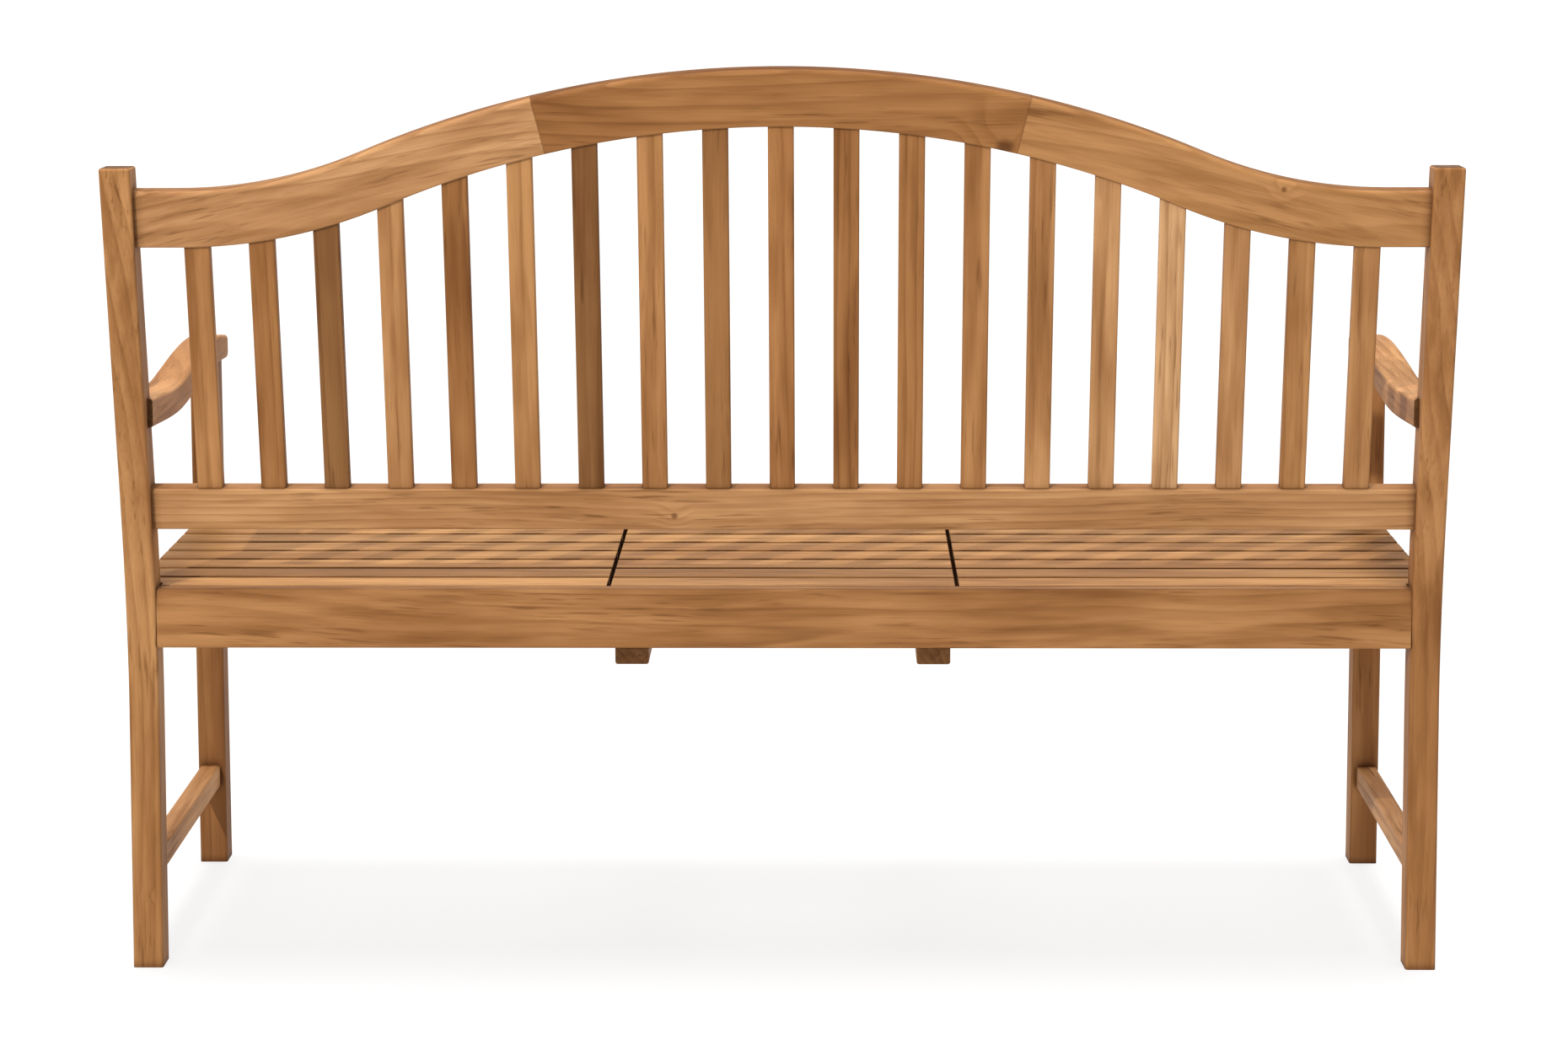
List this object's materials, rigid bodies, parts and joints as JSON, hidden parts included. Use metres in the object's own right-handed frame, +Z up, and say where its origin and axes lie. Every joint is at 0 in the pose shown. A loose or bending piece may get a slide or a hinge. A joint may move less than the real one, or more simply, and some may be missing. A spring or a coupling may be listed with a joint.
{
  "type": "garden bench",
  "caption": "Wooden garden bench with an arched slatted back, curved arms and a middle seat section that lifts and swings forward on parallel links to become a table.",
  "frame": {"origin": "centre of the bounding box's footprint, on the floor the feet stand on", "axes": "+X along the bench towards the sitter's left, -Y out of the front of the seat, +Z up"},
  "size_m": [1.52, 0.6244, 1.057],
  "materials": {
    "post_wood": "oiled light-brown hardwood, satin",
    "crest_wood": "oiled light-brown hardwood, satin",
    "back_slat_wood": "oiled light-brown hardwood, satin",
    "arm_wood": "oiled light-brown hardwood, satin",
    "seat_wood": "oiled light-brown hardwood, satin",
    "table_wood": "oiled light-brown hardwood, satin",
    "rail_wood": "oiled light-brown hardwood, satin",
    "link_wood": "oiled light-brown hardwood, satin",
    "steel": "zinc-plated steel"
  },
  "bodies": {
    "frame": {"arm_left": "arm_wood", "arm_right": "arm_wood", "back_bottom_rail": "rail_wood", "back_slat_01": "back_slat_wood", "back_slat_02": "back_slat_wood", "back_slat_03": "back_slat_wood", "back_slat_04": "back_slat_wood", "back_slat_05": "back_slat_wood", "back_slat_06": "back_slat_wood", "back_slat_07": "back_slat_wood", "back_slat_08": "back_slat_wood", "back_slat_09": "back_slat_wood", "back_slat_10": "back_slat_wood", "back_slat_11": "back_slat_wood", "back_slat_12": "back_slat_wood", "back_slat_13": "back_slat_wood", "back_slat_14": "back_slat_wood", "back_slat_15": "back_slat_wood", "back_slat_16": "back_slat_wood", "back_slat_17": "back_slat_wood", "back_slat_18": "back_slat_wood", "back_slat_19": "back_slat_wood", "bearer_screws": "steel", "crest_center": "crest_wood", "crest_left": "crest_wood", "crest_right": "crest_wood", "front_apron": "rail_wood", "front_leg_left": "post_wood", "front_leg_right": "post_wood", "lower_pivot_bolts": "steel", "rear_apron": "rail_wood", "rear_post_left": "post_wood", "rear_post_right": "post_wood", "seat_bearer_left": "rail_wood", "seat_bearer_right": "rail_wood", "seat_screws_left": "steel", "seat_screws_right": "steel", "seat_slats_left": "seat_wood", "seat_slats_right": "seat_wood", "side_rail_left": "rail_wood", "side_rail_right": "rail_wood", "stretcher_left": "rail_wood", "stretcher_right": "rail_wood", "table_bearer_left": "rail_wood", "table_bearer_right": "rail_wood"},
    "rear_links": {"rear_link_left": "link_wood", "rear_link_right": "link_wood", "rear_link_bar": "link_wood"},
    "front_links": {"front_link_left": "link_wood", "front_link_right": "link_wood", "front_link_bar": "link_wood"},
    "table": {"table_slats": "table_wood", "table_cleat_left": "rail_wood", "table_cleat_right": "rail_wood", "table_screws": "steel", "upper_pivot_bolts": "steel"}
  },
  "joints": [
    {"name": "rear_link_swing", "type": "hinge", "parent": "frame", "child": "rear_links", "pos_m": [0, -0.073, 0.38], "axis": [1, 0, 0], "range_deg": [0, 90]},
    {"name": "table_level", "type": "hinge", "parent": "rear_links", "child": "table", "pos_m": [0, 0.16466, 0.4134], "axis": [1, 0, 0], "range_deg": [-90, 0]},
    {"name": "front_link_swing", "type": "hinge", "parent": "frame", "child": "front_links", "pos_m": [0, -0.255, 0.38], "axis": [1, 0, 0], "range_deg": [0, 90]}
  ],
  "couplings": [
    {"joint": "table_level", "follows": "rear_link_swing", "ratio": -1},
    {"joint": "front_link_swing", "follows": "rear_link_swing", "ratio": 1}
  ]
}
